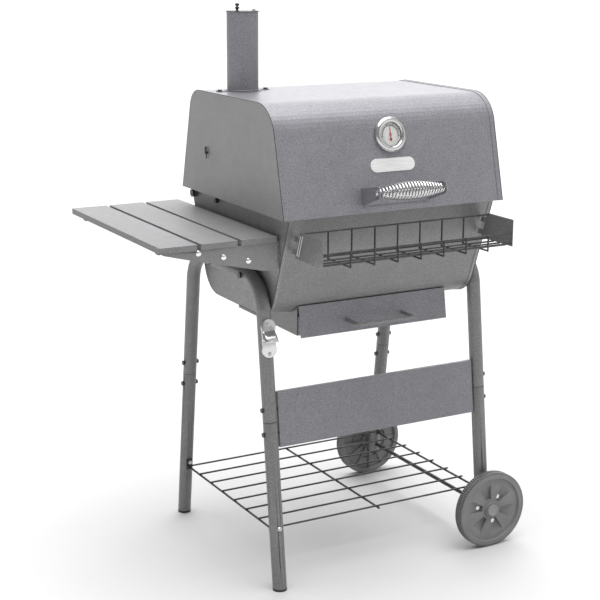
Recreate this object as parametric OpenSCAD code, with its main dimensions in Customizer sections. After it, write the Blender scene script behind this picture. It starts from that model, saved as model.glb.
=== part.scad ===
// Charcoal barrel grill on a four-leg cart with two wheels, a side shelf,
// a front wire basket, a swing-away warming rack and a smoke chimney on the lid.
// Millimetres. +X is the wheel side, +Y is the rear, +Z is up. The origin is on
// the floor, under the middle of the bounding box.

/* [Legs] */
// Distance from the middle of the grill to each leg frame
leg_x = 287; // [284:1:290]
// Outer diameter of the leg tubes
tube_d = 33; // [31:0.5:34]
// Front-to-back distance from the middle to a leg's axis at the floor
foot_y = 266; // [262:1:270]
// Splay of each leg: run for each unit of rise
leg_lean = 0.122; // [0.11:0.002:0.13]
// Height of the horizontal bar of each leg frame
bar_z = 712; // [705:1:716]
// Bend radius of the leg frame, on the tube's axis
bend_r = 78; // [70:1:90]
// Height of the joint between upper and lower leg tubes
splice_z = 392; // [380:1:395]

/* [Firebox] */
// Width over both end plates
box_w = 540.8; // [537:0.2:540.8]
// Height of the firebox rim
rim_z = 872; // [870:1:874]
// Half of the front-to-back depth at the rim
rim_half = 253.5; // [251:0.5:255]
// Height of the flat bottom
box_low_z = 622; // [618:1:626]
// Inward lean of the front and rear walls
box_lean = 0.372; // [0.36:0.002:0.38]
// Radius between the bottom and the walls
box_corner_r = 74; // [60:1:80]

/* [Lid] */
// Width over both lid ends
lid_w = 580; // [578:1:584]
// Height of the lid's lower edge
lid_low_z = 865; // [864:1:868]
// Height of the lid's top
lid_top_z = 1108; // [1100:1:1112]
// Half of the lid's depth at its lower edge
lid_half = 262; // [260:1:264]
// Inward lean of the lid's front and rear walls
lid_lean = 0.245; // [0.23:0.005:0.26]
// Radius of the front bend
lid_front_r = 80; // [60:1:90]
// Radius of the rear bend
lid_rear_r = 50; // [40:1:60]

/* [Chimney] */
// Outer diameter of the chimney tube
flue_d = 74; // [70:1:78]
// Height of the chimney's rim
flue_top_z = 1290; // [1280:1:1292]
// Height of the damper knob's top, the overall height
overall_z = 1309; // [1306:1:1312]

/* [Side shelf] */
// Height of the shelf's top
shelf_z = 823; // [820:1:824]
// Outer edge of the shelf from the middle of the grill
shelf_reach = 558; // [548:1:566]
// Front edge of the shelf
shelf_front = -238; // [-245:1:-230]
// Rear edge of the shelf
shelf_rear = 290; // [270:1:300]

/* [Wheels] */
// Wheel radius
wheel_r = 95; // [90:1:98]
// Wheel width
wheel_w = 24; // [22:1:26]
// Axle diameter
axle_d = 10; // [9:0.5:11]

/* [Basket] */
// Half of the basket's width
basket_half = 248; // [240:1:252]
// Overall depth, from the basket's front to the rear wheel's hub cap
overall_depth = 691; // [685:1:697]

/* [Hidden] */

$fn = 48;
eps = 0.5;          // how far a cutter runs past a face
fit = 0.1;          // radial clearance of every turning fit
sheet = 1.2;        // sheet steel of the body
grill_y = -26;      // middle of the firebox and lid, from the middle of the legs
leg_deg = atan(leg_lean);
tube_bore = tube_d - 3;
hub_back = foot_y + 9.5;   // inner face of each wheel, clear of the leg's end
hub_cap_h = 3.5;
rear_reach = hub_back + wheel_w + hub_cap_h;
basket_front = rear_reach - overall_depth;
cart_x = (shelf_reach - leg_x - wheel_r) / 2;
cart_y = -(basket_front + rear_reach) / 2;

// Everything below is laid out from the middle of the legs, then moved so that
// the origin is under the middle of the bounding box.
module cart() translate([cart_x, cart_y, 0]) children();
module grill() translate([cart_x, cart_y + grill_y, 0]) children();

// ---------- shared shapes ----------
module rod(a, b, d) {
  v = b - a;
  translate(a) rotate([0, acos(v.z / norm(v)), atan2(v.y, v.x)])
    cylinder(h = norm(v), d = d);
}
module rod_x(p, length, d) translate(p) rotate([0, 90, 0])
  cylinder(h = length, d = d, center = true);
module rod_y(p, length, d) translate(p) rotate([90, 0, 0])
  cylinder(h = length, d = d, center = true);
module block(low, high) translate(low) cube(high - low);
// An outline in Y and Z, extruded along X between two values
module plate_x(x0, x1) translate([x0, 0, 0]) rotate([90, 0, 90])
  linear_extrude(x1 - x0) children();
module both_x() { children(); mirror([1, 0, 0]) children(); }
module both_y() { children(); mirror([0, 1, 0]) children(); }
module hexagon_x(p, h, across) translate(p) rotate([0, 90, 0])
  cylinder(h = h, d = across / cos(30), $fn = 6, center = true);
function arc(c, r, a0, a1, n = 8) =
  [for (i = [0:n]) let (a = a0 + (a1 - a0) * i / n) c + r * [cos(a), sin(a)]];

// ---------- leg frames ----------
function leg_axis_y(z) = foot_y - leg_lean * z;
bend_z = bar_z - bend_r;
bend_y = leg_axis_y(bend_z) - bend_r / cos(leg_deg);
splice_bolt_gap = 28;
sleeve_half = 60;
bolt_d = 6;
module leg_part(z0, z1, d) {
  rod([0, -leg_axis_y(z0), z0], [0, -leg_axis_y(z1), z1], d);
}
leg_run = (bend_z + bend_r * sin(leg_deg) - splice_z) / cos(leg_deg);
swell = 0.1;        // the tube is that much wider round the bend
// Half of a leg frame's path: splice, leg, bend and bar, as a rod of diameter d
module half_frame(d, bend_d, more) translate([0, -bend_y, bend_z]) rotate([90, 0, 90]) {
  rotate([0, 0, 180 - leg_deg]) translate([bend_r, 0, 0]) rotate([-90, 0, 0])
    cylinder(h = leg_run + more, d = d);
  rotate([0, 0, 90]) {
    rotate_extrude(angle = 90 - leg_deg) translate([bend_r, 0]) circle(d = bend_d);
    translate([bend_r, 0, 0]) rotate([90, 0, 0]) cylinder(h = bend_y + 1, d = d);
  }
}
frame_bolt_y = [-80, 80];
module splice_holes() for (s = [-1, 1]) both_y()
  rod_x([0, -leg_axis_y(splice_z + s * splice_bolt_gap), splice_z + s * splice_bolt_gap],
        tube_d + 2, bolt_d + 0.4);
module upper_frame() difference() {
  both_y() half_frame(tube_d, tube_d + swell, 0);
  both_y() half_frame(tube_bore, tube_bore - swell, 3);
  splice_holes();
  for (y = frame_bolt_y) rod_x([0, grill_y + y, bar_z], tube_d + 2, 8.4);
}
module upper_frame_left() color("#7d7d7d") difference() {
  cart() translate([-leg_x, 0, 0]) upper_frame();
  at_opener() for (z = opener_screw_z) translate([0, z, -6]) cylinder(h = 12, d = 5.4);
}
module upper_frame_right() color("#7d7d7d") cart() translate([leg_x, 0, 0]) upper_frame();

plug_h = 5;
right_leg_end_z = wheel_r - 20;
shelf_wire_z = 137;
shelf_screw_z = shelf_wire_z + 11;
module lower_leg(end_z) difference() {
  leg_part(end_z, splice_z, tube_d);
  leg_part(end_z - 4, splice_z + 4, tube_bore);
  splice_holes();
  rod_y([0, -leg_axis_y(shelf_screw_z), shelf_screw_z], 2 * tube_d, bolt_d + 0.4);
}
module left_leg() difference() {
  lower_leg(-4);
  block([-40, -400, -20], [40, 0, plug_h]);
}
module right_leg() difference() {
  lower_leg(right_leg_end_z);
  rod_y([0, -foot_y, wheel_r], 2 * tube_d, axle_d + 0.4);
}
module lower_legs_left() color("#7d7d7d") cart() translate([-leg_x, 0, 0])
  both_y() left_leg();
module lower_legs_right() color("#7d7d7d") cart() translate([leg_x, 0, 0])
  both_y() right_leg();

module leg_sleeves() color("#6a6a6a") cart() both_x() translate([leg_x, 0, 0]) both_y()
  difference() {
    leg_part(splice_z - sleeve_half, splice_z + sleeve_half, tube_bore - 0.3);
    leg_part(splice_z - sleeve_half - 5, splice_z + sleeve_half + 5, tube_bore - 3.3);
    splice_holes();
  }
// A bolt along X: head outside the tube, nut on its inner side
module leg_bolt(y, z, nut_x) translate([0, y, z]) {
  rod_x([(tube_d / 2 + 2 + nut_x) / 2, 0, 0], tube_d / 2 + 2 - nut_x, bolt_d);
  rod_x([tube_d / 2 + 2.2, 0, 0], 4, 11);
  hexagon_x([nut_x - 2.5, 0, 0], 5, 10);
}
module leg_bolts() color("#9a9a9a") cart() both_x() translate([leg_x, 0, 0])
  for (s = [-1, 1]) let (z = splice_z + s * splice_bolt_gap, y = leg_axis_y(z)) {
    leg_bolt(y, z, -tube_d / 2 - 0.2);
    leg_bolt(-y, z, -tube_d / 2 - valance_gap - sheet - 0.2);
  }
module foot_plug() {
  intersection() {
    leg_part(-6, 12, tube_d);
    block([-40, -400, 0], [40, 0, plug_h]);
  }
  leg_part(plug_h - 1, 30, tube_bore - 0.3);
}
module end_plug() {
  leg_part(right_leg_end_z - 4, right_leg_end_z, tube_d);
  leg_part(right_leg_end_z - 1, right_leg_end_z + 8, tube_bore - 0.3);
}
module leg_plugs() color("#3a3a3a") cart() {
  translate([-leg_x, 0, 0]) both_y() foot_plug();
  translate([leg_x, 0, 0]) both_y() end_plug();
}

// ---------- wheels ----------
axle_end = hub_back + wheel_w - 2.5;
module axle() color("#8c8c8c") cart() rod_y([leg_x, 0, wheel_r], 2 * axle_end, axle_d);
nut_depth = 7;      // recess in the hub that holds the axle nut
module axle_nuts() color("#8c8c8c") cart() both_y()
  difference() {
    rod_y([leg_x, -hub_back - wheel_w + nut_depth / 2 + 1, wheel_r], nut_depth - 3, 17);
    rod_y([leg_x, -hub_back, wheel_r], 3 * wheel_w, axle_d + 0.1);
  }
hub_r = 24;
rim_r = 76;
pocket_n = 6;
module pocket_outline() intersection() {
  polygon([[0, 0], [80, -20], [80, 20]]);
  difference() { circle(r = 67); circle(r = 30); }
}
// A wheel that stands on its inner face, with its axis along +Z
module wheel_solid() difference() {
  union() {
    difference() {
      cylinder(h = wheel_w, r = wheel_r, $fn = 96);
      translate([0, 0, -eps]) cylinder(h = wheel_w + 2 * eps, r = rim_r, $fn = 96);
    }
    translate([0, 0, 10]) cylinder(h = 10, r = rim_r + 1);
    cylinder(h = wheel_w, r = hub_r);
  }
  translate([0, 0, -eps]) cylinder(h = wheel_w + 1, d = axle_d + 2 * fit);
  translate([0, 0, wheel_w - nut_depth]) cylinder(h = nut_depth + eps, r = 12);
  for (i = [0:pocket_n - 1]) rotate([0, 0, 360 / pocket_n * i + 12]) {
    translate([0, 0, 14]) linear_extrude(7) pocket_outline();
    if (i % 2 == 0) translate([38, 0, 0]) cylinder(h = wheel_w, d = 10);
  }
}
module at_wheel() cart() translate([leg_x, -hub_back, wheel_r]) rotate([90, 0, 0]) children();
module to_rear() translate([0, cart_y, 0]) mirror([0, 1, 0]) translate([0, -cart_y, 0])
  children();
module wheel_front() color("#5c5c5c") at_wheel() wheel_solid();
module wheel_rear() color("#5c5c5c") to_rear() at_wheel() wheel_solid();
module cap_solid() translate([0, 0, wheel_w]) {
  cylinder(h = hub_cap_h, r = 15);
  translate([0, 0, -4]) difference() {
    cylinder(h = 4.5, r = 11.9);
    translate([0, 0, -eps]) cylinder(h = 4.5, r = 9.8);
  }
}
module hub_cap_front() color("#777777") at_wheel() cap_solid();
module hub_cap_rear() color("#777777") to_rear() at_wheel() cap_solid();

// ---------- bottom shelf and valance ----------
shelf_wire_y = 228;
shelf_wire_n = 8;
module bottom_shelf() color("#2e2e2e") cart() {
  for (i = [0:shelf_wire_n - 1])
    let (outer = i == 0 || i == shelf_wire_n - 1,
         y = -shelf_wire_y + 2 * shelf_wire_y * i / (shelf_wire_n - 1))
      rod_x([0, y, shelf_wire_z], outer ? 2 * leg_x + 16 : 582, 4.5);
  for (x = [-285, 0, 285]) rod_y([x, 0, shelf_wire_z - 4.6], 2 * shelf_wire_y + 9, 5.5);
  both_x() both_y() difference() {
    block([leg_x - 8, -230.2, shelf_wire_z - 9], [leg_x + 8, -228, shelf_screw_z + 8]);
    rod_y([leg_x, -230, shelf_screw_z], 10, bolt_d + 0.4);
  }
}
valance_z = 395;
valance_h = 129;
valance_gap = 3;
module front_valance() color("#808084") cart()
  translate([0, -leg_axis_y(valance_z), valance_z]) rotate([-leg_deg, 0, 0]) {
    end_x = leg_x - tube_d / 2 - valance_gap;
    block([-end_x, -6.6, -valance_h / 2], [end_x, -5.4, valance_h / 2]);
    for (z = [-valance_h / 2, valance_h / 2 - sheet])
      block([-end_x + 4, -6.6, z], [end_x - 4, 6, z + sheet]);
    both_x() difference() {
      block([end_x - sheet, -6.6, -valance_h / 2], [end_x, 11, valance_h / 2]);
      for (s = [-1, 1])
        rod_x([end_x, 0, (splice_z - valance_z + s * splice_bolt_gap) / cos(leg_deg)],
              10, bolt_d + 0.6);
    }
  }

// ---------- firebox ----------
box_deg = atan(box_lean);
function box_half(z) = rim_half - box_lean * (rim_z - z);
// Outline of the firebox, moved inwards by t and run up past the rim by up
function tub(t, up) =
  let (c = box_half(box_low_z) - box_corner_r * tan((90 - box_deg) / 2),
       cz = box_low_z + box_corner_r, r = box_corner_r - t,
       top = box_half(rim_z + up) - t / cos(box_deg))
  concat([[-top, rim_z + up]], arc([-c, cz], r, 180 + box_deg, 270),
         arc([c, cz], r, 270, 360 - box_deg), [[top, rim_z + up]]);
module tub_ring(t0, t1) difference() { polygon(tub(t0, 0)); polygon(tub(t1, 5)); }
box_end = box_w / 2;
box_flange = 9;
ash_hole = [360, 200];
module firebox_shell() color("#7d7d7d") grill() difference() {
  plate_x(-box_end + sheet, box_end - sheet) tub_ring(sheet, 2 * sheet);
  translate([0, 0, box_low_z]) cube([ash_hole.x, ash_hole.y, 20], center = true);
}
hinge = [204 - grill_y, 852];          // lid hinge, in Y and Z from the grill's middle
link_pivot = [hinge.x - 124.5, 852];   // warming rack link on the firebox
rack_pivot = [hinge.x - 113, 966];     // warming rack on the lid
rack_front = [rack_pivot.x - 124.5, rack_pivot.y];
air_hole_r = 20;
air_z = 782;
module box_end_plate() {
  plate_x(box_end - sheet, box_end) polygon(tub(0, 0));
  plate_x(box_end - box_flange, box_end - sheet) tub_ring(0, sheet);
}
module end_holes(x) {
  rod_x([x, hinge.x, hinge.y], 10, 8.2);
  rod_x([x, link_pivot.x, link_pivot.y], 10, 6 + 2 * fit);
  for (y = frame_bolt_y) rod_x([x, y, bar_z], 10, 8.4);
}
rail_bolt_y = [-140, 0, 140];
rail_z = 797;
module firebox_end_left() color("#8b8b8b") grill() difference() {
  mirror([1, 0, 0]) box_end_plate();
  end_holes(-box_end);
  for (y = rail_bolt_y) rod_x([-box_end, y, rail_z], 10, bolt_d + 0.4);
}
module air_holes(x) for (a = [90, 210, 330])
  rod_x([x, air_hole_r * cos(a), air_z + air_hole_r * sin(a)], 10, 16);
module firebox_end_right() color("#8b8b8b") grill() difference() {
  box_end_plate();
  end_holes(box_end);
  air_holes(box_end);
  rod_x([box_end, 0, air_z], 10, bolt_d + 0.4);
}
// Frame bolts run through the leg frame's bar and the end plate
module frame_bolt(y) {
  out = leg_x + tube_d / 2;
  rod_x([(out + box_end) / 2 - 4, y, bar_z], out - box_end + 10, 8);
  rod_x([out + 2.7, y, bar_z], 5, 14);
  hexagon_x([box_end - sheet - 3.3, y, bar_z], 6, 13);
}
module hinge_bolt() {
  rod_x([box_end + 1, hinge.x, hinge.y], 14, 8);
  hexagon_x([box_end + 8.2, hinge.x, hinge.y], 6, 17);
  hexagon_x([box_end - sheet - 3.2, hinge.x, hinge.y], 6, 13);
}
module rail_bolt(y) {
  rod_x([-box_end - 1, y, rail_z], 12, bolt_d);
  rod_x([-box_end - 4.6, y, rail_z], 4, 11);
  hexagon_x([-box_end + sheet + 2.7, y, rail_z], 5, 10);
}
module body_bolts() color("#4a4a4a") grill() {
  both_x() { for (y = frame_bolt_y) frame_bolt(y); hinge_bolt(); }
  for (y = rail_bolt_y) rail_bolt(y);
}
module air_damper() color("#707070") grill() difference() {
  union() {
    rod_x([box_end + 0.9, 0, air_z], sheet, 66);
    block([box_end + 0.3, -6, air_z + 30], [box_end + 1.5, 6, air_z + 44]);
    block([box_end + 0.3, -6, air_z + 42.8], [box_end + 11, 6, air_z + 44]);
  }
  air_holes(box_end);
  rod_x([box_end, 0, air_z], 10, bolt_d + 2 * fit);
}

// ---------- ash drawer ----------
drawer_half = 199.5;
drawer_face_y = -191 - grill_y;
drawer_low_z = 575.5;
drawer_top_z = 645;
housing_rear_y = 136;
drawer_lean = 0.166;   // how far the drawer's front leans out for each unit down
function drawer_y(z) = drawer_face_y - drawer_lean * (drawer_top_z - z);
ledge_z = 577.5;
module ash_housing() color("#7d7d7d") grill() difference() {
  union() {
    both_x() {
      block([drawer_half + 0.8, -162, drawer_low_z], [drawer_half + 2, housing_rear_y, 660]);
      block([drawer_half - 7, -162, drawer_low_z], [drawer_half + 1, housing_rear_y, ledge_z]);
    }
    block([-drawer_half - 2, housing_rear_y - sheet, drawer_low_z],
          [drawer_half + 2, housing_rear_y, 660]);
  }
  plate_x(-300, 300) polygon(tub(0, 5));
}
module ash_drawer_front() color("#808084") grill() difference() {
  union() {
    plate_x(-drawer_half, drawer_half)
      polygon([[drawer_y(drawer_low_z - 3), drawer_low_z - 3], [drawer_face_y, drawer_top_z],
               [drawer_face_y + sheet, drawer_top_z],
               [drawer_y(drawer_low_z - 3) + sheet, drawer_low_z - 3]]);
    both_x() plate_x(drawer_half - sheet, drawer_half)
      polygon([[drawer_y(drawer_low_z + 2.5) + 0.2, drawer_low_z + 2.5],
               [drawer_y(620) + 0.2, 620], [drawer_face_y + 9, 620],
               [drawer_face_y + 9, drawer_low_z + 2.5]]);
  }
  both_x() rod_y([75, drawer_y(600), 600], 10, 6.4);
}
pan_half = drawer_half - 5;
pan_front_y = drawer_y(616) + sheet + 0.5;
pan_rear_y = 128;
module ash_drawer_pan() color("#6e6e6e") grill() difference() {
  block([-pan_half, pan_front_y, ledge_z + 0.4], [pan_half, pan_rear_y, 616]);
  block([-pan_half + 1, pan_front_y + 1, ledge_z + 1.4],
        [pan_half - 1, pan_rear_y - 1, 620]);
  both_x() rod_y([75, pan_front_y, 600], 10, 6.4);
}
grip_y = drawer_y(600) - 52;
module ash_drawer_handle() color("#8a8a8a") grill() {
  both_x() {
    rod([75, drawer_y(600) - 0.9, 600], [75, grip_y + 10, 600], 9);
    translate([65, grip_y + 10, 600]) rotate([0, 0, -90])
      rotate_extrude(angle = 90) translate([10, 0]) circle(d = 9);
    rod_y([75, (drawer_y(600) + pan_front_y) / 2 + 0.5, 600],
          pan_front_y - drawer_y(600) + 4, 6);
    rod_y([75, pan_front_y + 3.2, 600], 4, 12);
  }
  rod_x([0, grip_y, 600], 130, 9);
}

// ---------- grates ----------
charcoal_z = 700;
grate_z = 863;
bracket_y = [150, 218];
module bracket(x0, z, y0, y1) {
  block([x0, y0, z - 2], [box_end - sheet - 0.1, y1, z]);
  block([box_end - sheet - 2.1, y0, z - 14], [box_end - sheet - 0.1, y1, z - 1]);
}
module grate_supports() color("#6a6a6a") grill() both_x() both_y() {
  bracket(250, grate_z, bracket_y[0], bracket_y[1]);
  bracket(250, charcoal_z, 90, 150);
}
charcoal_half = [262, 170];
module charcoal_grate() color("#4a4a4a") grill() {
  bar_n = 24;
  for (i = [0:bar_n])
    rod_y([-charcoal_half.x + 3 + i * (2 * charcoal_half.x - 6) / bar_n, 0, charcoal_z + 7.2],
          2 * charcoal_half.y, 5);
  for (y = [-140, 0, 140]) rod_x([0, y, charcoal_z + 3.1], 2 * charcoal_half.x, 6);
}
grate_half = 247;
grate_w = 264;
// One cooking grate from x = 0 outwards, with a notch that clears the rack's link
module cooking_grate() {
  bar_n = 12;
  difference() {
    block([0, -grate_half, grate_z + 0.2], [grate_w, grate_half, grate_z + 8]);
    block([8, -grate_half + 8, grate_z - 1], [grate_w - 11, grate_half - 8, grate_z + 9]);
    block([grate_w - 5, link_pivot.x - 32, grate_z - 1], [grate_w + 1, link_pivot.x + 22,
                                                          grate_z + 9]);
  }
  for (i = [1:bar_n]) let (x = 4 + i * (grate_w - 12) / (bar_n + 1))
    block([x - 3, -grate_half + 4, grate_z + 1], [x + 3, grate_half - 4, grate_z + 8]);
  for (y = [-110, 110]) block([4, y - 4, grate_z + 0.2], [grate_w - 4, y + 4, grate_z + 7]);
}
module cooking_grate_left() color("#3c3c3c") grill() mirror([1, 0, 0])
  translate([0.5, 0, 0]) cooking_grate();
module cooking_grate_right() color("#3c3c3c") grill() translate([0.5, 0, 0])
  cooking_grate();

// ---------- side shelf ----------
slat_gap = 9;
shelf_inner = -leg_x + 8;
slat_w = (shelf_reach + shelf_inner - 2 * slat_gap) / 3;
slat_h = 13;
module slat(i) {
  x0 = -shelf_reach + i * (slat_w + slat_gap);
  difference() {
    block([x0, shelf_front, shelf_z - slat_h], [x0 + slat_w, shelf_rear, shelf_z]);
    block([x0 + sheet, shelf_front + sheet, shelf_z - slat_h - 1],
          [x0 + slat_w - sheet, shelf_rear - sheet, shelf_z - sheet]);
  }
}
module shelf_slat_outer() color("#a6a6a6") cart() slat(0);
module shelf_slat_middle() color("#a6a6a6") cart() slat(1);
module shelf_slat_inner() color("#a6a6a6") cart() slat(2);
frame_top = shelf_z - slat_h - 0.1;
strut_run = 0.234;   // fall of the strut for each unit towards the firebox
gusset_front = shelf_front + 4;
gusset_rear = shelf_rear - 5.2;
gusset_bolt_x = [-467, -407.5, -348];
function strut_z(x) = 802.8 - strut_run * (x - gusset_bolt_x[0]);
strut_end = -box_end - 1;
module strut(y) translate([0, y + 3, 0]) rotate([90, 0, 0]) linear_extrude(3)
  polygon([[-526, strut_z(-526) - 4], [strut_end, strut_z(strut_end) - 9],
           [strut_end, strut_z(strut_end) + 9], [-526, strut_z(-526) + 7]]);
module shelf_frame() color("#6f6f6f") cart() difference() {
  union() {
    block([-box_end - 2.4, gusset_front + sheet, frame_top - 26],
          [-box_end - 0.2, gusset_rear, frame_top]);
    block([-box_end - 22, gusset_front + sheet, frame_top - 2],
          [-box_end - 0.2, gusset_rear, frame_top]);
    for (y = [-208, 222]) block([-shelf_reach + 6, y - 8, frame_top - 6],
                                [-box_end - 2, y + 8, frame_top]);
    strut(gusset_front + sheet);
    strut(gusset_rear - 3);
    for (y = [gusset_front + sheet, gusset_rear - 3])
      block([-box_end - 8, y, strut_z(strut_end) - 9], [-box_end - 0.2, y + 3, frame_top]);
  }
  block([-shelf_reach, shelf_front, frame_top], [-box_end, shelf_rear, shelf_z]);
  for (y = rail_bolt_y) rod_x([-box_end, y + grill_y, rail_z], 20, bolt_d + 0.4);
  for (x = gusset_bolt_x, y = [gusset_front, gusset_rear])
    rod_y([x, y, strut_z(x)], 20, bolt_d + 0.4);
}
module gusset(y) difference() {
  translate([0, y + sheet, 0]) rotate([90, 0, 0]) linear_extrude(sheet)
    polygon([[-550, frame_top - 4], [-491, 790.5], [-312, 748.5], [shelf_inner - 1.5, 747.5],
             [shelf_inner - 1.5, frame_top], [-550, frame_top]]);
  for (x = gusset_bolt_x) rod_y([x, y, strut_z(x)], 10, bolt_d + 0.4);
}
module shelf_gussets() color("#7d7d7d") cart() {
  gusset(gusset_front);
  gusset(gusset_rear);
}
module gusset_bolt(x) translate([x, 0, strut_z(x)]) {
  rod_y([0, 0, 0], 14, bolt_d);
  translate([0, -4.2, 0]) rotate([90, 0, 0]) cylinder(h = 3.6, d1 = 13.6, d2 = 10);
  rotate([90, 0, 0]) translate([0, 0, -9]) cylinder(h = 4.5, d = 11, $fn = 6);
}
module shelf_bolts() color("#e2e2e0") cart() for (x = gusset_bolt_x) {
  translate([0, gusset_front + 4.1, 0]) gusset_bolt(x);
  translate([0, gusset_rear - 2.9, 0]) mirror([0, 1, 0]) gusset_bolt(x);
}

// ---------- front basket ----------
wire_d = 4;
basket_top = 838;
basket_low = 776;
front_wire_y = basket_front + wire_d / 2 + 0.2;
rear_top_y = -287;
rear_low_y = rear_top_y + box_lean * (basket_top - basket_low);
floor_wire_z = basket_low - 3;
module basket_wires() color("#3a3a3a") cart() {
  w = 2 * basket_half;
  rod_x([0, rear_top_y - 5, basket_top - 3], w, wire_d);
  rod_x([0, rear_top_y - 5, basket_low + 3], w, wire_d);
  rod_x([0, front_wire_y + 3, 806], w, wire_d);
  rod_x([0, front_wire_y + 3, 783], w, wire_d);
  for (y = [-315, -338, -361]) rod_x([0, y, floor_wire_z + 3], w, wire_d);
  for (k = [-3:3]) translate([60 * k, 0, 0]) {
    rod([0, rear_top_y - 2, basket_top - 1], [0, rear_top_y - 2, floor_wire_z], wire_d);
    rod([0, rear_top_y - 2, floor_wire_z], [0, front_wire_y, floor_wire_z], wire_d);
    rod([0, front_wire_y, floor_wire_z], [0, front_wire_y, 808], wire_d);
    for (y = [rear_top_y - 2, front_wire_y]) translate([0, y, floor_wire_z])
      sphere(d = wire_d + 0.4, $fn = 32);
  }
}
module basket_ends() color("#6f6f6f") cart() both_x()
  plate_x(basket_half, basket_half + sheet)
    polygon([[rear_top_y, basket_top], [front_wire_y, basket_top],
             [front_wire_y, basket_low], [rear_low_y, basket_low],
             [rear_low_y - box_lean * 8, basket_low + 8],
             [rear_low_y + 15, basket_low + 8], [rear_low_y + 10, basket_low + 20],
             [rear_low_y - box_lean * 20, basket_low + 20],
             [rear_top_y + box_lean * 24, basket_top - 24],
             [rear_top_y + 27, basket_top - 24], [rear_top_y + 22, basket_top - 12],
             [rear_top_y + box_lean * 12, basket_top - 12]]);
module basket_hooks() color("#c9c9c9") cart() both_x() for (d = [9, 17]) {
  x = basket_half + sheet + 1.4;
  top = [x, rear_top_y - d + box_lean * 8, basket_top - 8];
  low = [x, rear_low_y - d - box_lean * 8, basket_low + 8];
  rod(low, top, 2.6);
  translate(top) sphere(d = 2.6, $fn = 24);
  translate(low) sphere(d = 2.6, $fn = 24);
}

// ---------- bottle opener ----------
opener_z = 583;
opener_screw_z = [-34, 33];
module at_opener() cart() translate([-leg_x, -leg_axis_y(opener_z), opener_z])
  rotate([-leg_deg, 0, 0]) translate([0, -tube_d / 2, 0]) rotate([90, 0, 0]) children();
module bottle_opener() color("#d6d6d4") at_opener() difference() {
  union() {
    translate([0, 26, 0.2]) cylinder(h = 3, r = 19);
    translate([0, -24, 0.2]) cylinder(h = 3, r = 19);
    translate([-17, -26, 0.2]) cube([34, 54, 3]);
    translate([-19, 4, 0]) rotate([90, 0, 90]) linear_extrude(38)
      polygon([[0, 1], [16, 5], [18, 8], [-2, 22], [-8, 21], [-9, 17], [-6, 1]]);
  }
  translate([-15, 2, 3.2]) rotate([90, 0, 90]) linear_extrude(30)
    polygon([[0, 0], [10, 2.5], [-5, 12], [-20, 12], [-20, 0]]);
  for (z = opener_screw_z) translate([0, z, -eps]) cylinder(h = 6, d = 5.4);
}
// A screw along -Z whose head rests on z = 0
module screw(length, d, head_d) {
  translate([0, 0, -length]) cylinder(h = length + 1, d = d);
  difference() {
    translate([0, 0, 0.1]) cylinder(h = 2.6, d1 = head_d, d2 = head_d * 0.7);
    translate([0, 0, 3]) cube([head_d, 1.2, 2.4], center = true);
  }
}
module panel_screws() color("#b8b8b6") {
  at_opener() for (z = opener_screw_z) translate([0, z, 3.2]) screw(9, 5, 9);
  cart() both_x() both_y() translate([leg_x, -leg_axis_y(shelf_screw_z), shelf_screw_z]) {
    translate([0, -tube_d / 2 - 1, 0]) rotate([90, 0, 0]) screw(tube_d + 9, bolt_d, 12);
    rod_y([0, leg_axis_y(shelf_screw_z) - 225.4, 0], 5, 10);
  }
  grill() translate([box_end + 1.6, 0, air_z]) rotate([0, 90, 0]) screw(9, bolt_d, 12);
}

// ---------- lid ----------
lid_deg = atan(lid_lean);
lid_end = lid_w / 2;
lid_flange = 12;
function lid_reach(z) = lid_half - lid_lean * (z - lid_low_z);
// Outline of the lid, moved inwards by t and run down past its lower edge
function hood(t, down) =
  let (corner = lid_reach(lid_top_z), k = tan((90 - lid_deg) / 2),
       low = lid_reach(lid_low_z - down) - t / cos(lid_deg))
  concat([[low, lid_low_z - down]],
         arc([corner - lid_rear_r * k, lid_top_z - lid_rear_r], lid_rear_r - t, lid_deg, 90),
         arc([-corner + lid_front_r * k, lid_top_z - lid_front_r], lid_front_r - t, 90,
             180 - lid_deg, 10),
         [[-low, lid_low_z - down]]);
module hood_ring(t0, t1) difference() { polygon(hood(t0, 0)); polygon(hood(t1, 5)); }
flue_x = -198;
flue_y = 88 - grill_y;
skin_top = lid_top_z - sheet;
module at_flue() grill() translate([flue_x, flue_y, 0]) children();
// A place on the lid's front skin: local +Z points out of the skin, local +Y up it
module on_lid_front(z) grill()
  translate([0, -lid_reach(z) + sheet / cos(lid_deg), z]) rotate([90 - lid_deg, 0, 0])
    children();
thermo_z = 1030;
handle_z = 900;
handle_bolt_x = 60;
module lid_skin() color("#86868a") difference() {
  grill() plate_x(-lid_end + sheet, lid_end - sheet) hood_ring(sheet, 2 * sheet);
  at_flue() translate([0, 0, skin_top - 10]) cylinder(h = 20, d = flue_d - 6);
  at_flue() for (s = [-60, 60]) translate([s, 0, skin_top - 10])
    cylinder(h = 20, d = bolt_d + 0.4);
  on_lid_front(thermo_z) cylinder(h = 10, d = 12.4, center = true);
  on_lid_front(handle_z) for (s = [-1, 1]) translate([s * handle_bolt_x, 0, 0])
    cylinder(h = 10, d = bolt_d + 0.4, center = true);
}
module lid_end_plate() difference() {
  union() {
    plate_x(lid_end - sheet, lid_end) polygon(hood(0, 0));
    plate_x(lid_end - lid_flange, lid_end - sheet) hood_ring(0, sheet);
  }
  rod_x([lid_end, rack_pivot.x, rack_pivot.y], 10, 6 + 2 * fit);
}
module lid_end_left() color("#909090") grill() mirror([1, 0, 0]) lid_end_plate();
module lid_end_right() color("#909090") grill() lid_end_plate();
strap_x = box_end + 1.6;
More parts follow.
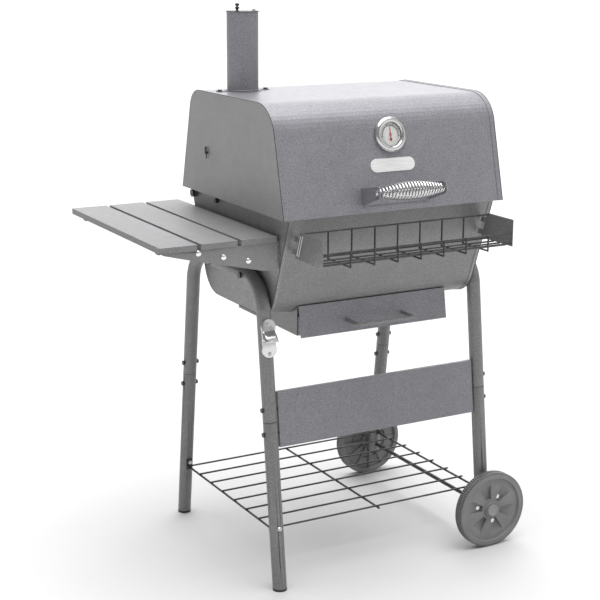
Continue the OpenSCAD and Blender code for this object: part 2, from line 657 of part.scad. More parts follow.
module hinge_straps() color("#6f6f6f") grill() both_x() difference() {
  union() {
    rod_x([strap_x + 1.5, hinge.x, hinge.y], 3, 22);
    block([strap_x, hinge.x - 11, hinge.y], [strap_x + 3, hinge.x + 11, 905]);
    block([strap_x, hinge.x - 11, 882], [lid_end - sheet - 0.1, hinge.x + 11, 905]);
  }
  rod_x([strap_x, hinge.x, hinge.y], 12, 8 + 2 * fit);
}

// ---------- lid handle ----------
ear_x = 88;
grip_out = 64;      // distance of the grip's axis from the lid skin
grip_up = 3;
module handle_bracket() color("#868686") on_lid_front(handle_z) difference() {
  union() {
    block([-ear_x, -19, 0.1], [ear_x, 19, 2.1]);
    both_x() plate_x(ear_x - 2, ear_x)
      polygon([[-19, 0.1], [19, 0.1], [17, 72], [14, 76], [-5, 76], [-10, 71]]);
  }
  for (s = [-1, 1]) translate([s * handle_bolt_x, 0, 0])
    cylinder(h = 10, d = bolt_d + 0.4, center = true);
  rod_x([0, grip_up, grip_out], 200, 8.4);
}
module handle_rod() color("#d8d8d6") on_lid_front(handle_z) {
  rod_x([0, grip_up, grip_out], 2 * ear_x + 4, 8);
  both_x() translate([ear_x + 0.1, grip_up, grip_out]) rotate([0, 90, 0]) {
    cylinder(h = 3, d = 17);
    translate([0, 0, 3]) cylinder(h = 2.2, d1 = 17, d2 = 9);
  }
  for (s = [-1, 1]) translate([s * handle_bolt_x, 0, 0]) {
    translate([0, 0, -9]) cylinder(h = 11.3, d = bolt_d);
    translate([0, 0, 2.2]) cylinder(h = 3, d1 = 12, d2 = 9);
    translate([0, 0, -sheet - 5.1]) cylinder(h = 5, d = 11, $fn = 6);
  }
}
coil_half = 83;
coil_wire = 4.8;
coil_turns = 21;
function coil_r(u) = 7.5 + 11 * cos(90 * u);   // u runs from -1 to 1 along the grip
module handle_grip() color("#dcdcda") on_lid_front(handle_z)
  translate([0, grip_up, grip_out]) rotate([0, 90, 0]) rotate_extrude() {
    for (i = [0:coil_turns]) let (u = -1 + 2 * i / coil_turns)
      translate([coil_r(u), u * coil_half]) circle(d = coil_wire, $fn = 20);
    for (i = [0:coil_turns - 1])
      let (u = -1 + 2 * i / coil_turns, v = u + 2 / coil_turns)
        polygon([[coil_r(u) - 0.6, u * coil_half], [coil_r(u) + 0.6, u * coil_half],
                 [coil_r(v) + 0.6, v * coil_half], [coil_r(v) - 0.6, v * coil_half]]);
  }

// ---------- nameplate and thermometer ----------
module nameplate() color("#e8e8e8") on_lid_front(965) {
  for (s = [-1, 1]) translate([s * 43, 0, 0.1]) cylinder(h = 1.6, r = 15);
  translate([-43, -15, 0.1]) cube([86, 30, 1.6]);
}
module thermometer_case() color("#dcdcdc") on_lid_front(thermo_z) {
  rotate_extrude($fn = 72)
    polygon(concat([[0, 0.1], [40, 0.1], [40, 5]], arc([32.5, 5.5], 7.4, 0, 110, 6),
                   [[29.6, 10.6], [29.6, 3], [0, 3]]));
  translate([0, 0, -9]) cylinder(h = 9.2, d = 12);
  translate([0, 0, -5.5]) cylinder(h = 4, d = 18, $fn = 6);
  translate([0, 0, -62]) cylinder(h = 60, d = 6);
}
module thermometer_dial() color("#f4f4f4") on_lid_front(thermo_z) {
  translate([0, 0, 3.1]) cylinder(h = 1, r = 29);
  translate([0, 0, 4]) cylinder(h = 2.6, r = 1);
}
module thermometer_pointer() color("#b02a2a") on_lid_front(thermo_z) difference() {
  translate([0, 0, 4.8]) {
    linear_extrude(0.8) polygon([[-1.2, -12], [1.2, -12], [0.5, 19], [-0.5, 19]]);
    cylinder(h = 0.8, r = 3);
    translate([0, -12, 0]) cylinder(h = 0.8, r = 3);
  }
  translate([0, 0, 4]) cylinder(h = 3, r = 1 + fit);
}
module thermometer_glass() color([0.9, 0.95, 1, 0.4]) on_lid_front(thermo_z)
  translate([0, 0, 8.6]) cylinder(h = 1.5, r = 29.5);

// ---------- chimney ----------
module chimney_tube() color("#808082") at_flue() translate([0, 0, skin_top + 0.1])
  difference() {
    cylinder(h = flue_top_z - skin_top - 0.1, d = flue_d, $fn = 72);
    translate([0, 0, -eps]) cylinder(h = flue_top_z, d = flue_d - 2 * sheet, $fn = 72);
  }
module chimney_flange() color("#c4c4c4") at_flue() translate([0, 0, skin_top + 0.1])
  difference() {
    union() {
      cylinder(h = 1.5, r = flue_d / 2 + 7);
      translate([-60, -9, 0]) cube([120, 18, 1.5]);
      for (s = [-60, 60]) translate([s, 0, 0]) cylinder(h = 1.5, r = 9);
    }
    translate([0, 0, -eps]) cylinder(h = 4, r = flue_d / 2 + 0.1);
    for (s = [-60, 60]) translate([s, 0, -eps]) cylinder(h = 4, d = bolt_d + 0.4);
  }
module chimney_bolts() color("#5a5a5a") at_flue() for (s = [-60, 60])
  translate([s, 0, skin_top]) {
    translate([0, 0, -9]) cylinder(h = 12, d = bolt_d);
    translate([0, 0, 1.7]) cylinder(h = 3.4, d1 = 12, d2 = 9);
    translate([0, 0, -sheet - 5.1]) cylinder(h = 5, d = 11, $fn = 6);
  }
damper_r = 39;
damper_z = flue_top_z + 0.3;
pin_x = 30;
module damper_pin() color("#6f6f6f") at_flue() {
  block([pin_x - 5, -5, flue_top_z - 12], [pin_x + 4, 5, flue_top_z - 0.2]);
  translate([pin_x, 0, flue_top_z - 1]) cylinder(h = 3.2, d = 5);
  translate([pin_x, 0, damper_z + 1.8]) cylinder(h = 2.4, d1 = 9, d2 = 7);
}
module damper_plate() color("#5f5f5f") at_flue() difference() {
  translate([0, 0, damper_z]) cylinder(h = 1.5, r = damper_r, $fn = 72);
  translate([pin_x, 0, damper_z - 1]) cylinder(h = 4, d = 5 + 2 * fit);
}
module damper_knob() color("#2c2c2c") at_flue() translate([-13.5, 0, damper_z + 1.5])
  rotate_extrude() {
    h = overall_z - damper_z - 1.5;
    polygon(concat([[0, 0], [3.4, 0], [3.2, h * 0.28]],
                   arc([3, h * 0.42], 2.3, -80, 80, 5), [[2.4, h * 0.6], [2.4, h * 0.68]],
                   arc([2.9, h * 0.83], 2.2, -60, 50, 5), [[1.5, h], [0, h]]));
  }

// ---------- warming rack ----------
rack_deck_z = rack_pivot.y + 5.5;
rail_in = 254;
rack_edge = [rack_front.x - 25, rack_pivot.x + 55];
module warming_rack() color("#7a7a7a") grill() difference() {
  union() {
    both_x() block([rail_in, rack_edge[0], rack_pivot.y - 8],
                   [rail_in + 6, rack_edge[1], rack_deck_z + 2]);
    for (y = rack_edge) rod_x([0, y, rack_deck_z - 2], 2 * rail_in + 4, 6);
    rod_x([0, rack_pivot.x, rack_pivot.y], 2 * lid_end + 14, 6);
    wire_n = 20;
    for (i = [1:wire_n - 1])
      rod_y([-rail_in + 2 * rail_in * i / wire_n, (rack_edge[0] + rack_edge[1]) / 2,
             rack_deck_z], rack_edge[1] - rack_edge[0], 4);
  }
  both_x() rod_x([rail_in + 3, rack_front.x, rack_front.y], 20, 7.2);
  both_x() translate([lid_end + 3.4, rack_pivot.x, rack_pivot.y])
    cylinder(h = 20, d = 2.6, center = true);
}
module rack_pins() color("#3a3a3a") grill() both_x()
  translate([lid_end + 3.4, rack_pivot.x, rack_pivot.y]) {
    translate([0, 0, -14]) cylinder(h = 24, d = 2.4);
    translate([0, 6, -4]) cylinder(h = 14, d = 2.4);
    translate([0, 3, 10]) rotate([90, 0, 90]) rotate_extrude(angle = 180)
      translate([3, 0]) circle(d = 2.4, $fn = 24);
  }
link_x = 265;
module rack_link() color("#7a7a7a") grill() {
  rod_x([0, rack_front.x, rack_front.y], 2 * link_x, 6);
  both_x() {
    rod([link_x, link_pivot.x, link_pivot.y], [link_x, rack_front.x, rack_front.y], 6);
    for (p = [link_pivot, rack_front]) translate([link_x, p.x, p.y]) sphere(d = 6.6);
    rod_x([(link_x + box_end + 7) / 2, link_pivot.x, link_pivot.y],
          box_end + 7 - link_x, 6);
    rod_x([box_end + 4.5, link_pivot.x, link_pivot.y], 5, 13);
  }
}

upper_frame_left();
upper_frame_right();
lower_legs_left();
lower_legs_right();
leg_sleeves();
leg_bolts();
leg_plugs();
axle();
axle_nuts();
bottom_shelf();
panel_screws();
front_valance();
firebox_shell();
firebox_end_left();
firebox_end_right();
body_bolts();
ash_housing();
grate_supports();
charcoal_grate();
cooking_grate_left();
cooking_grate_right();
shelf_slat_outer();
shelf_slat_middle();
shelf_slat_inner();
shelf_frame();
shelf_gussets();
shelf_bolts();
basket_wires();
basket_ends();
basket_hooks();
bottle_opener();
ash_drawer_front();
ash_drawer_pan();
ash_drawer_handle();
air_damper();
lid_skin();
lid_end_left();
lid_end_right();
hinge_straps();
handle_bracket();
handle_rod();
handle_grip();
nameplate();
thermometer_case();
thermometer_dial();
thermometer_pointer();
thermometer_glass();
chimney_tube();
chimney_flange();
chimney_bolts();
damper_pin();
damper_plate();
damper_knob();
warming_rack();
rack_pins();
rack_link();
wheel_front();
hub_cap_front();
wheel_rear();
hub_cap_rear();
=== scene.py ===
"""Looks of the charcoal barrel grill: materials, detailed pieces, floor, light and camera."""
import math

import bpy
from mathutils import Matrix, Vector


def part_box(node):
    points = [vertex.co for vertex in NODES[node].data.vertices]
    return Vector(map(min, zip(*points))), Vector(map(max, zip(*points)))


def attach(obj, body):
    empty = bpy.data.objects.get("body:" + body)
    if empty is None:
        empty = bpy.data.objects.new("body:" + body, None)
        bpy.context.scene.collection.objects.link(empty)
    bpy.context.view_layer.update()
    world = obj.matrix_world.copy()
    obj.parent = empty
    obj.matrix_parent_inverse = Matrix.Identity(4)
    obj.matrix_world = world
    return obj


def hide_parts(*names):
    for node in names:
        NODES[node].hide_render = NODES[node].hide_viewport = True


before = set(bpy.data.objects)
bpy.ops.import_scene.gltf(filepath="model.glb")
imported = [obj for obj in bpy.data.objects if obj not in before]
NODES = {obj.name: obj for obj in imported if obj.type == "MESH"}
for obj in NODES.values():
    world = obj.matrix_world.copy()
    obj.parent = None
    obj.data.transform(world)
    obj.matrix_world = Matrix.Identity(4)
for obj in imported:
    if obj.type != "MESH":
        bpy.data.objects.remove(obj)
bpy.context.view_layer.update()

MM = 0.001
LID_SLOPE = 0.245        # how far the lid's front skin leans per metre of height
LEG_SLOPE = 0.122        # the same for each leg
FIREBOX_SLOPE = 0.372    # and for the firebox's sides
LID_LEAN = math.atan(LID_SLOPE)
LEG_LEAN = math.atan(LEG_SLOPE)
X_AXIS = Vector((1, 0, 0))
Z_AXIS = Vector((0, 0, 1))
WELD_GAP = 0.02 * MM     # CAD vertices closer than this are one vertex


# ---------------------------------------------------------------- node helpers
class Paint:
    """A node material being built: one Principled shader with object coordinates."""

    def __init__(self, name, rough=0.5, metal=0.0, base=(0.5, 0.5, 0.5)):
        self.material = bpy.data.materials.new(name)
        self.material.use_nodes = True
        self.tree = self.material.node_tree
        self.shader = self.tree.nodes["Principled BSDF"]
        self.shader.inputs["Metallic"].default_value = metal
        self.shader.inputs["Roughness"].default_value = rough
        self.shader.inputs["Base Color"].default_value = (*base, 1)
        self.place = self.tree.nodes.new("ShaderNodeTexCoord").outputs["Object"]
        self.normal = None

    def link(self, out, into):
        self.tree.links.new(out, into)

    def stretched(self, scale):
        """Coordinates stretched along the axes, for brushed or drawn metal."""
        node = self.tree.nodes.new("ShaderNodeMapping")
        node.inputs["Scale"].default_value = scale
        self.link(self.place, node.inputs["Vector"])
        return node.outputs["Vector"]

    def noise(self, scale, detail=3, rough=0.55, place=None):
        node = self.tree.nodes.new("ShaderNodeTexNoise")
        node.inputs["Scale"].default_value = scale
        node.inputs["Detail"].default_value = detail
        node.inputs["Roughness"].default_value = rough
        self.link(place or self.place, node.inputs["Vector"])
        return node.outputs["Fac"]

    def cells(self, scale):
        node = self.tree.nodes.new("ShaderNodeTexVoronoi")
        node.inputs["Scale"].default_value = scale
        self.link(self.place, node.inputs["Vector"])
        return node.outputs["Distance"]

    def ramp(self, fac, stops):
        node = self.tree.nodes.new("ShaderNodeValToRGB")
        ramp = node.color_ramp
        ramp.elements[0].position, ramp.elements[1].position = stops[0][0], stops[-1][0]
        ramp.elements[0].color = (*stops[0][1], 1)
        ramp.elements[1].color = (*stops[-1][1], 1)
        for at, colour in stops[1:-1]:
            ramp.elements.new(at).color = (*colour, 1)
        self.link(fac, node.inputs["Fac"])
        return node.outputs["Color"]

    def mix(self, a, b, fac, mode="MIX"):
        node = self.tree.nodes.new("ShaderNodeMix")
        node.data_type, node.blend_type = "RGBA", mode
        for key, value in ((0, fac), (6, a), (7, b)):
            if isinstance(value, (float, int)):
                node.inputs[key].default_value = value
            elif isinstance(value, tuple):
                node.inputs[key].default_value = (*value, 1)
            else:
                self.link(value, node.inputs[key])
        return node.outputs[2]

    def colour(self, out):
        self.link(out, self.shader.inputs["Base Color"])

    def roughness(self, fac, low, high):
        node = self.tree.nodes.new("ShaderNodeMapRange")
        node.inputs["To Min"].default_value = low
        node.inputs["To Max"].default_value = high
        self.link(fac, node.inputs["Value"])
        self.link(node.outputs["Result"], self.shader.inputs["Roughness"])

    def bump(self, height, distance, strength=1.0):
        node = self.tree.nodes.new("ShaderNodeBump")
        node.inputs["Distance"].default_value = distance
        node.inputs["Strength"].default_value = strength
        self.link(height, node.inputs["Height"])
        if self.normal is not None:
            self.link(self.normal, node.inputs["Normal"])
        self.normal = node.outputs["Normal"]
        self.link(self.normal, self.shader.inputs["Normal"])


def grey(value, tint=0.0):
    """A near-grey colour; tint above 0 is cooler."""
    return (value, value * (1 - tint / 4), value * (1 + tint))


def flake_paint(name, value, tint=0.0, rough=0.42, metal=0.35, shaded_face_value=None):
    """Silver-grey flake paint: fine bright and dark flecks, orange peel, a little grime.
    With a shaded face value, faces that don't face along X take that darker, cooler colour, so the
    X-facing sides are painted lighter: painted side light."""
    p = Paint(name, rough, metal)
    flecks_and_side_light = p.ramp(p.noise(480, 3, 0.75), [
        (0.30, grey(value * 0.52, tint)), (0.47, grey(value * 0.92, tint)),
        (0.55, grey(value * 1.05, tint)), (0.72, grey(value * 1.60, tint))])
    # painted side light: faces along X keep the full value, all other faces are painted darker and
    # cooler as if in shade
    if shaded_face_value:
        split = p.tree.nodes.new("ShaderNodeSeparateXYZ")
        p.link(p.tree.nodes.new("ShaderNodeTexCoord").outputs["Normal"], split.inputs[0])
        side = p.tree.nodes.new("ShaderNodeMath")
        side.operation = "ABSOLUTE"
        p.link(split.outputs["X"], side.inputs[0])
        side_light_tone = p.ramp(side.outputs[0], [(0.5, grey(shaded_face_value / value, 0.07)), (0.8, grey(1.0))])
        flecks_and_side_light = p.mix(flecks_and_side_light, side_light_tone, 1.0, "MULTIPLY")
    glitter = p.ramp(p.noise(1700, 2, 0.7), [(0.35, grey(0.80)), (0.7, grey(1.0))])
    broad = p.ramp(p.noise(5, 4), [(0.3, grey(0.91)), (0.7, grey(1.0))])
    grime = p.ramp(p.noise(34, 5, 0.65), [(0.35, grey(0.94)), (0.62, grey(1.0))])
    toned = p.mix(p.mix(flecks_and_side_light, glitter, 1.0, "MULTIPLY"), broad, 1.0, "MULTIPLY")
    p.colour(p.mix(toned, grime, 1.0, "MULTIPLY"))
    p.roughness(p.noise(60, 3), rough - 0.07, rough + 0.09)
    p.bump(p.noise(420, 2), 0.00012, 0.5)
    p.bump(p.noise(1900, 2), 0.00004, 0.35)
    return p.material


def wire_enamel():
    p = Paint("wire_enamel", 0.34)
    p.colour(p.ramp(p.noise(90, 4), [(0.3, grey(0.020)), (0.7, grey(0.045))]))
    p.roughness(p.noise(240, 3), 0.26, 0.45)
    p.bump(p.noise(500, 2), 0.00008, 0.6)
    return p.material


def bright_metal(name, value, rough, stretch=(40, 40, 900)):
    """Plated or drawn metal: fine streaks, light smudges, faint waviness."""
    p = Paint(name, rough, 1.0)
    streaks = p.noise(1.0, 3, 0.6, p.stretched(stretch))
    p.colour(p.ramp(streaks, [(0.25, grey(value * 0.80)), (0.6, grey(value))]))
    p.roughness(p.noise(120, 4), rough * 0.6, rough * 1.7)
    p.bump(p.noise(300, 2), 0.00005, 0.4)
    return p.material


def dark_steel():
    p = Paint("oiled_steel", 0.5, 0.8)
    p.colour(p.ramp(p.noise(40, 5, 0.6), [
        (0.30, (0.10, 0.095, 0.09)), (0.55, (0.17, 0.165, 0.16)), (0.75, (0.23, 0.215, 0.20))]))
    p.roughness(p.noise(150, 3), 0.38, 0.62)
    p.bump(p.noise(700, 2), 0.0001, 0.5)
    return p.material


def cast_iron():
    p = Paint("cast_iron", 0.62, 0.3)
    p.colour(p.ramp(p.noise(160, 5, 0.7), [
        (0.3, (0.018, 0.017, 0.016)), (0.6, (0.045, 0.042, 0.04)), (0.8, (0.075, 0.066, 0.06))]))
    p.roughness(p.noise(80, 3), 0.5, 0.78)
    p.bump(p.noise(900, 4), 0.0005, 0.7)
    return p.material


def moulded(name, value, rough=0.55, grain=0.0002):
    """Moulded plastic: matte grain, faint flow marks and scuffs."""
    p = Paint(name, rough)
    flow = p.ramp(p.noise(18, 4), [(0.3, grey(value * 0.86, 0.02)), (0.7, grey(value * 1.1, 0.02))])
    scuff = p.ramp(p.noise(260, 4, 0.7), [(0.58, grey(0.0)), (0.74, grey(0.05))])
    p.colour(p.mix(flow, scuff, 1.0, "ADD"))
    p.roughness(p.noise(200, 3), rough - 0.1, rough + 0.14)
    p.bump(p.cells(1100), grain, 0.35)
    return p.material


def dial_face():
    p = Paint("dial_face", 0.5)
    p.colour(p.ramp(p.noise(220, 3), [(0.3, (0.80, 0.80, 0.78)), (0.7, (0.88, 0.88, 0.87))]))
    p.bump(p.noise(900, 2), 0.00003, 0.4)
    return p.material


def print_ink():
    p = Paint("print_ink", 0.5)
    p.colour(p.ramp(p.noise(700, 3), [(0.35, grey(0.02)), (0.7, grey(0.055))]))
    return p.material


def red_lacquer():
    p = Paint("red_lacquer", 0.35)
    p.colour(p.ramp(p.noise(500, 3), [(0.3, (0.42, 0.015, 0.012)), (0.7, (0.58, 0.03, 0.02))]))
    return p.material


def lens_glass():
    p = Paint("lens_glass", 0.03, 0.0, (1, 1, 1))
    p.shader.inputs["Transmission Weight"].default_value = 1.0
    p.shader.inputs["IOR"].default_value = 1.1
    p.roughness(p.noise(60, 3), 0.01, 0.05)
    return p.material


MATERIALS = {
    "body": flake_paint("flake_paint_body", 0.28),
    "lid": flake_paint("flake_paint_lid", 0.31, 0.07),
    # the end plates are painted lighter than the front and body sheets, as if lit from the side:
    # painted side light
    "end": flake_paint("flake_paint_ends_side_lit", 0.335, shaded_face_value=0.31),
    "box_end": flake_paint("flake_paint_box_ends_side_lit", 0.33),
    "shelf": flake_paint("flake_paint_shelf", 0.27, 0.02, 0.55, 0.25),
    "panel": flake_paint("flake_paint_panels", 0.275, 0.07, 0.5, 0.25),
    "leg": flake_paint("flake_paint_legs", 0.255),
    "wire": wire_enamel(),
    "chrome": bright_metal("chrome_plate", 0.70, 0.17),
    "satin": bright_metal("satin_plate", 0.95, 0.55, (30, 900, 900)),
    "zinc": bright_metal("zinc_plate", 0.66, 0.28, (500, 60, 60)),
    "bright": bright_metal("polished_bolt", 0.90, 0.22),
    "steel": dark_steel(),
    "iron": cast_iron(),
    "tyre": moulded("wheel_plastic", 0.20),
    "cap": moulded("cap_plastic", 0.27, 0.4, 0.0001),
    "black": moulded("black_plastic", 0.022, 0.4),
    "dial": dial_face(),
    "hole": bright_metal("hole_rim", 0.9, 0.3),
    "ink": print_ink(),
    "red": red_lacquer(),
    "glass": lens_glass(),
}

CAD_LOOKS = {
    "leg": ["upper_frame_left", "upper_frame_right", "lower_legs_left", "lower_legs_right"],
    "body": ["firebox_shell", "ash_housing", "shelf_frame", "shelf_gussets", "basket_ends",
             "air_damper", "hinge_straps", "ash_drawer_handle", "damper_pin"],
    "lid": ["lid_skin", "handle_bracket", "chimney_tube"],
    "panel": ["front_valance", "ash_drawer_front"],
    "end": ["lid_end_left", "lid_end_right"],
    "box_end": ["firebox_end_left", "firebox_end_right"],
    "shelf": ["shelf_slat_outer", "shelf_slat_middle", "shelf_slat_inner", "chimney_flange"],
    "wire": ["bottom_shelf", "basket_wires", "warming_rack", "rack_link", "rack_pins",
             "body_bolts", "chimney_bolts", "damper_plate", "leg_bolts", "axle", "axle_nuts"],
    "zinc": ["panel_screws", "basket_hooks"],
    "steel": ["leg_sleeves", "grate_supports", "ash_drawer_pan"],
    "iron": ["charcoal_grate", "cooking_grate_left", "cooking_grate_right"],
    "chrome": ["handle_rod", "thermometer_case", "handle_grip", "bottle_opener"],
    "satin": ["nameplate"],
    "bright": ["shelf_bolts"],
    "tyre": ["wheel_front", "wheel_rear"],
    "cap": ["hub_cap_front", "hub_cap_rear"],
    "black": ["leg_plugs", "damper_knob"],
    "dial": ["thermometer_dial"],
    "red": ["thermometer_pointer"],
    "glass": ["thermometer_glass"],
}
# Edges that get a small round so that they catch the light, in millimetres
ROUNDED = {
    "shelf_slat_outer": 1.6, "shelf_slat_middle": 1.6, "shelf_slat_inner": 1.6,
    "front_valance": 0.5, "ash_drawer_front": 0.5, "basket_ends": 0.3, "shelf_gussets": 0.3,
    "handle_bracket": 0.6, "cooking_grate_left": 1.0, "cooking_grate_right": 1.0,
    "nameplate": 0.5, "hinge_straps": 0.6, "leg_bolts": 0.7, "panel_screws": 0.4,
    "upper_frame_left": 0.7, "upper_frame_right": 0.7,
    "lower_legs_left": 0.7, "lower_legs_right": 0.7,
}
# Bent sheet whose facets are smoothed into one curve
FORMED = ["lid_skin", "firebox_shell", "lid_end_left", "lid_end_right"]


def dress_cad():
    """Gives each CAD node its material, and rounds or smooths the ones listed above."""
    for look, names in CAD_LOOKS.items():
        for name in names:
            obj = NODES[name]
            obj.data.materials.clear()
            obj.data.materials.append(MATERIALS[look])
            if name in FORMED or name in ROUNDED:
                weld = obj.modifiers.new("join", "WELD")
                weld.merge_threshold = WELD_GAP
            if name in FORMED:
                smooth = obj.modifiers.new("smooth", "WEIGHTED_NORMAL")
                smooth.keep_sharp = True
            if name in ROUNDED:
                bevel = obj.modifiers.new("edge", "BEVEL")
                bevel.width = ROUNDED[name] * MM
                bevel.segments = 3
                bevel.limit_method = "ANGLE"
                bevel.angle_limit = math.radians(40)


# ---------------------------------------------------------------- mesh helpers
def make_piece(name, points, faces, look, body, replaced=(), smooth=True,
               crease=40):
    """A visible piece that rides on a body, and hides the CAD nodes that it replaces."""
    mesh = bpy.data.meshes.new(name)
    mesh.from_pydata([tuple(p) for p in points], [], faces)
    mesh.validate()
    mesh.polygons.foreach_set("use_smooth", [smooth] * len(mesh.polygons))
    if smooth:
        mesh.set_sharp_from_angle(angle=math.radians(crease))
    mesh.materials.append(MATERIALS[look])
    obj = bpy.data.objects.new(name, mesh)
    bpy.context.scene.collection.objects.link(obj)
    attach(obj, body)
    if replaced:
        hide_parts(*replaced)
    return obj


def grid_faces(rows, columns, closed_rows=False, closed_columns=False):
    """Quads over a grid of points stored row by row."""
    faces = []
    for i in range(rows if closed_rows else rows - 1):
        for j in range(columns if closed_columns else columns - 1):
            a, b = i * columns, (i + 1) % rows * columns
            k = (j + 1) % columns
            faces.append((a + j, a + k, b + k, b + j))
    return faces


def tube(path, radius, sides=12, closed=False):
    """Points and faces of a round tube swept along a path, with flat ends."""
    count = len(path)
    points, faces = [], []
    side = None
    for i, p in enumerate(path):
        ahead = path[(i + 1) % count] if closed or i < count - 1 else p
        behind = path[i - 1] if closed or i > 0 else p
        along = (ahead - behind).normalized()
        if side is None:
            side = along.orthogonal().normalized()
        side = (side - along * side.dot(along)).normalized()
        other = along.cross(side)
        for j in range(sides):
            a = 2 * math.pi * j / sides
            points.append(p + radius * (math.cos(a) * side + math.sin(a) * other))
    faces = grid_faces(count, sides, closed, True)
    if not closed:
        faces.append(tuple(reversed(range(sides))))
        faces.append(tuple(range((count - 1) * sides, count * sides)))
    return points, faces


def lathe(profile, place, steps=64):
    """Revolves (radius, height) points about local +Z, then places them."""
    points = []
    for radius, height in profile:
        for i in range(steps):
            a = 2 * math.pi * i / steps
            points.append(place @ Vector((radius * math.cos(a), radius * math.sin(a), height)))
    return points, grid_faces(len(profile), steps, False, True)


def joined(parts):
    """Several (points, faces) lists as one."""
    points, faces = [], []
    for some_points, some_faces in parts:
        start = len(points)
        points += some_points
        faces += [tuple(start + k for k in face) for face in some_faces]
    return points, faces


def facing(origin, normal, up):
    """A placement whose +Z is normal and whose +Y is up."""
    z = normal.normalized()
    x = up.cross(z).normalized()
    y = z.cross(x)
    return Matrix.Translation(origin) @ Matrix((x, y, z)).transposed().to_4x4()


def arc_points(cx, cy, radius, start, end, steps):
    """Points on an arc, as pairs; angles in degrees."""
    out = []
    for i in range(steps + 1):
        a = math.radians(start + (end - start) * i / steps)
        out.append((cx + radius * math.cos(a), cy + radius * math.sin(a)))
    return out


def middle(node):
    low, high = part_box(node)
    return (low + high) / 2


def solids(node):
    """The box of each separate solid in a CAD node."""
    mesh = NODES[node].data
    parent = list(range(len(mesh.vertices)))

    def root(k):
        while parent[k] != k:
            parent[k] = parent[parent[k]]
            k = parent[k]
        return k

    where = {}
    for vertex in mesh.vertices:
        key = tuple(round(c, 6) for c in vertex.co)
        parent[root(vertex.index)] = root(where.setdefault(key, vertex.index))
    for edge in mesh.edges:
        parent[root(edge.vertices[0])] = root(edge.vertices[1])
    groups = {}
    for vertex in mesh.vertices:
        groups.setdefault(root(vertex.index), []).append(vertex.co)
    boxes = []
    for group in groups.values():
        low = Vector([min(co[k] for co in group) for k in range(3)])
        high = Vector([max(co[k] for co in group) for k in range(3)])
        boxes.append((low, high))
    return sorted(boxes, key=lambda box: tuple(box[0]))


# ---------------------------------------------------------------- lid furniture
LID_OUT = Vector((0, -math.cos(LID_LEAN), math.sin(LID_LEAN)))
LID_UP = Vector((0, math.sin(LID_LEAN), math.cos(LID_LEAN)))


def coil_grip():
    """The spring grip: one wire wound in a double cone round the handle rod."""
    centre = middle("handle_grip")
    turns, half, wire, steps = 21, 83 * MM, 2.5 * MM, 26
    path = []
    for i in range(turns * steps + 1):
        u = -1 + 2 * i / (turns * steps)
        swell = (7.5 + 10.8 * math.cos(math.pi / 2 * u)) * MM
        a = 2 * math.pi * i / steps
        path.append(centre + X_AXIS * (u * half)
                    + swell * (math.cos(a) * LID_OUT + math.sin(a) * LID_UP))
    points, faces = tube(path, wire, 10)
    make_piece("coil_grip", points, faces, "chrome", "lid", ["handle_grip"])


DIAL_START, DIAL_SWEEP = -20, 220     # the scale's first angle and its length, in degrees
DIAL_SPACES = 22                      # spaces between its ticks


def thermometer_bezel(place):
    bezel = [(0.0395, 0.0001), (0.0400, 0.0008), (0.0400, 0.0042)]
    bezel += [(0.0325 + x, 0.0045 + y) for x, y in arc_points(0, 0, 0.0075, 0, 125, 14)]
    bezel += [(0.0276, 0.0092), (0.0272, 0.0060), (0.0295, 0.0031), (0.0, 0.0031)]
    stem = [(0.0, -0.062), (0.0026, -0.0612), (0.0030, -0.060), (0.0030, -0.009),
            (0.0060, -0.009), (0.0060, 0.0003)]
    points, faces = joined([lathe(bezel, place, 96), lathe(stem, place, 32)])
    make_piece("thermometer_bezel", points, faces, "chrome", "lid", ["thermometer_case"])


def dial_plate(place):
    face = [(0.0, 0.0041), (0.0268, 0.0041), (0.0272, 0.0038), (0.0272, 0.0032)]
    boss = [(0.0, 0.0066), (0.0010, 0.0064), (0.0010, 0.0041)]
    points, faces = joined([lathe(face, place, 72), lathe(boss, place, 24)])
    make_piece("dial_plate", points, faces, "dial", "lid", ["thermometer_dial"])


def dial_marks(place):
    """A thin printed arc with a tick at each space, every fourth one long."""
    inner, outer, top = 0.0195, 0.0206, 0.0044
    arc_steps = 48
    band = []
    for i in range(arc_steps + 1):
        a = math.radians(DIAL_START + DIAL_SWEEP * i / arc_steps)
        for radius in (inner, outer):
            band.append(place @ Vector((radius * math.cos(a), radius * math.sin(a), top)))
    marks = [(band, grid_faces(arc_steps + 1, 2))]
    for i in range(DIAL_SPACES + 1):
        a = math.radians(DIAL_START + DIAL_SWEEP * i / DIAL_SPACES)
        length, wide = (0.0052, 0.00045) if i % 4 == 1 else (0.0030, 0.00025)
        along = Vector((math.cos(a), math.sin(a), 0))
        across = Vector((-math.sin(a), math.cos(a), 0))
        lift = Vector((0, 0, top))
        start, end = along * outer, along * (outer + length)
        corners = [start - across * wide, start + across * wide,
                   end + across * wide, end - across * wide]
        marks.append(([place @ (c + lift) for c in corners], [(0, 1, 2, 3)]))
    points, faces = joined(marks)
    make_piece("dial_marks", points, faces, "ink", "lid", smooth=False)


def dial_lens(place):
    glass = [(0.0, 0.0101), (0.010, 0.0099), (0.020, 0.0094), (0.0268, 0.0087),
             (0.0268, 0.0080), (0.020, 0.0086), (0.010, 0.0091), (0.0, 0.0093)]
    points, faces = lathe(glass, place, 72)
    make_piece("dial_lens", points, faces, "glass", "lid", ["thermometer_glass"])


